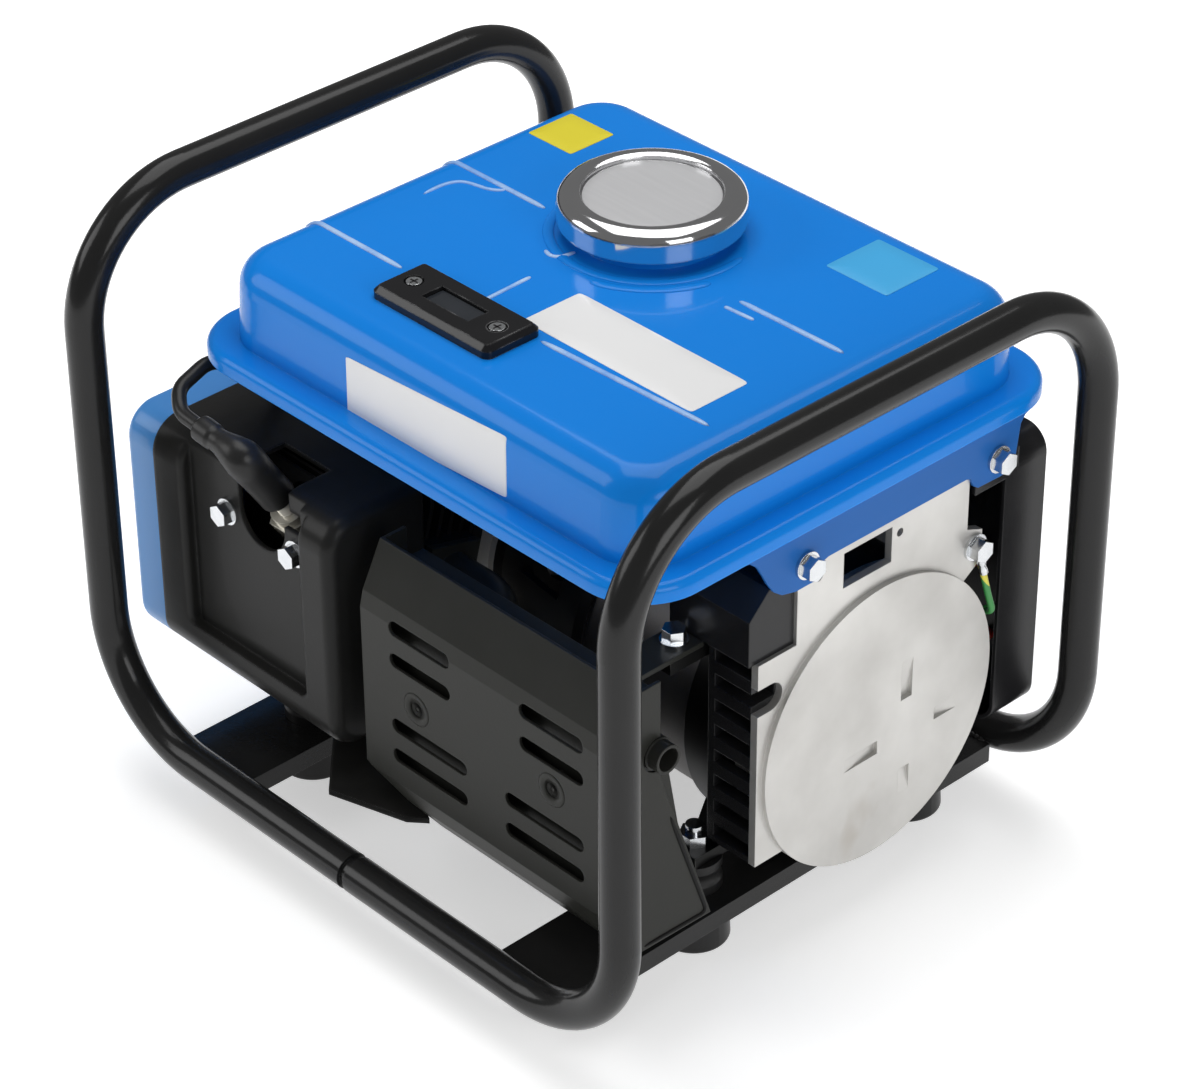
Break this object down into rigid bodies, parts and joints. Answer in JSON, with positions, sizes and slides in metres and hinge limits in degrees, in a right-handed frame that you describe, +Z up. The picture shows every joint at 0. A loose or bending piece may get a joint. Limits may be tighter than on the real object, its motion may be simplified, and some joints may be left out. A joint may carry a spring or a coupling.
{
  "type": "portable generator",
  "caption": "Open-frame portable petrol generator: bent-tube carrying frame, recoil-start engine with muffler, alternator, control panel and a fuel tank on top.",
  "frame": {"origin": "on the floor under the middle of the tube frame", "axes": "+X towards the alternator end, -Y towards the muffler and spark plug, +Z up"},
  "size_m": [0.366, 0.306, 0.308],
  "materials": {
    "frame_black": "satin black powder coat",
    "tank_blue": "gloss blue paint",
    "cover_blue": "gloss blue plastic",
    "shroud_black": "satin black paint",
    "shield_dark": "heat-proof dark paint",
    "cast_alloy": "as cast, brushed face",
    "machined_alloy": "machined",
    "zinc_steel": "bright zinc plate",
    "dark_steel": "ground steel",
    "iron": "laminated iron",
    "copper": "enamelled copper wire",
    "chrome": "polished chrome",
    "rubber_black": "matt rubber",
    "plastic_black": "fine-grained plastic",
    "plastic_grey": "grey plastic",
    "plastic_red": "gloss red plastic",
    "ceramic": "glazed ceramic with plated shell",
    "wire_green": "green and yellow insulation",
    "cord_white": "braided cord"
  },
  "bodies": {
    "chassis": {"left_hoop": "frame_black", "right_hoop": "frame_black", "cross_rails": "frame_black", "rubber_feet": "rubber_black", "isolators": "rubber_black", "engine_bed": "shroud_black", "crankcase_left": "cast_alloy", "crankcase_right": "cast_alloy", "main_bearings": "dark_steel", "cylinder": "cast_alloy", "cylinder_head": "cast_alloy", "spark_plug": "ceramic", "plug_boot": "rubber_black", "ht_lead": "rubber_black", "ignition_coil": "plastic_black", "fan_shroud": "shroud_black", "recoil_housing": "cover_blue", "muffler": "shield_dark", "muffler_shield": "shield_dark", "reed_manifold": "plastic_black", "carburettor": "machined_alloy", "air_filter_case": "plastic_black", "air_filter_cover": "plastic_black", "alternator_bell": "cast_alloy", "stator_core": "iron", "stator_windings": "copper", "alternator_end_plate": "cast_alloy", "vent_louvre": "plastic_black", "capacitor_box": "plastic_black", "tank_upper": "tank_blue", "tank_lower": "tank_blue", "tank_brackets": "tank_blue", "gauge_bezel": "plastic_black", "fuel_tap": "machined_alloy", "fuel_hose": "rubber_black", "control_panel": "plastic_black", "ac_socket": "plastic_grey", "dc_terminals": "plastic_red", "earth_wire": "wire_green", "fasteners": "zinc_steel"},
    "crank": {"crankshaft": "dark_steel", "flywheel": "cast_alloy", "rotor": "iron"},
    "piston_group": {"piston": "machined_alloy", "con_rod": "dark_steel", "engine_pins": "dark_steel"},
    "reel": {"recoil_reel": "plastic_grey", "starter_rope": "cord_white"},
    "pawl": {"recoil_pawl": "dark_steel"},
    "grip": {"starter_grip": "plastic_black"},
    "choke": {"choke_lever": "plastic_black"},
    "throttle": {"throttle_lever": "zinc_steel"},
    "tap_lever": {"fuel_tap_lever": "plastic_black"},
    "gasket": {"cap_gasket": "rubber_black"},
    "cap": {"filler_cap": "chrome"},
    "float": {"fuel_float": "plastic_grey"},
    "flap": {"socket_flap": "plastic_grey"},
    "switch": {"engine_switch": "plastic_red"},
    "breaker": {"breaker_button": "plastic_red"},
    "needle": {"voltmeter_needle": "plastic_red"}
  },
  "joints": [
    {"name": "crank_spin", "type": "hinge", "parent": "chassis", "child": "crank", "pos_m": [0, 0.035, 0.105], "axis": [1, 0, 0], "continuous": true},
    {"name": "piston_slide", "type": "slide", "parent": "chassis", "child": "piston_group", "axis": [0, -0.9659, 0.2588], "range_m": [0, 0.04]},
    {"name": "grip_pull", "type": "slide", "parent": "chassis", "child": "grip", "axis": [0.2588, 0.9659, 0], "range_m": [0, 0.6]},
    {"name": "reel_spin", "type": "hinge", "parent": "chassis", "child": "reel", "pos_m": [-0.1736, 0.035, 0.105], "axis": [1, 0, 0], "range_deg": [-1020, 0]},
    {"name": "pawl_swing", "type": "hinge", "parent": "reel", "child": "pawl", "pos_m": [-0.1671, 0.05, 0.105], "axis": [-1, 0, 0], "range_deg": [0, 15]},
    {"name": "choke_turn", "type": "hinge", "parent": "chassis", "child": "choke", "pos_m": [-0.089, 0.116, 0.127], "axis": [0, 0, -1], "range_deg": [0, 75]},
    {"name": "throttle_turn", "type": "hinge", "parent": "chassis", "child": "throttle", "pos_m": [-0.107, 0.103, 0.105], "axis": [-1, 0, 0], "range_deg": [0, 70]},
    {"name": "tap_turn", "type": "hinge", "parent": "chassis", "child": "tap_lever", "pos_m": [-0.025, 0.126, 0.2], "axis": [0, 1, 0], "range_deg": [0, 90]},
    {"name": "cap_lift", "type": "slide", "parent": "chassis", "child": "gasket", "axis": [0, 0, 1], "range_m": [0, 0.06]},
    {"name": "cap_turn", "type": "hinge", "parent": "gasket", "child": "cap", "pos_m": [-0.014, 0.055, 0.29], "axis": [0, 0, 1], "range_deg": [0, 90]},
    {"name": "float_swing", "type": "hinge", "parent": "chassis", "child": "float", "pos_m": [-0.019, -0.058, 0.2685], "axis": [0, -1, 0], "range_deg": [0, 20]},
    {"name": "flap_open", "type": "hinge", "parent": "chassis", "child": "flap", "pos_m": [0.058, 0.1474, 0.1478], "axis": [1, 0, 0], "range_deg": [0, 100], "stiffness_Nm_per_rad": 0.01},
    {"name": "switch_rock", "type": "hinge", "parent": "chassis", "child": "switch", "pos_m": [0.058, 0.1425, 0.184], "axis": [1, 0, 0], "range_deg": [0, 18]},
    {"name": "breaker_push", "type": "slide", "parent": "chassis", "child": "breaker", "axis": [0, -1, 0], "range_m": [0, 0.0025], "stiffness_N_per_m": 400},
    {"name": "needle_swing", "type": "hinge", "parent": "chassis", "child": "needle", "pos_m": [0.112, 0.1424, 0.174], "axis": [0, -1, 0], "range_deg": [0, 90], "stiffness_Nm_per_rad": 0.0002}
  ],
  "couplings": [
    {"joint": "reel_spin", "follows": "grip_pull", "rad_per_m": -29.412}
  ]
}
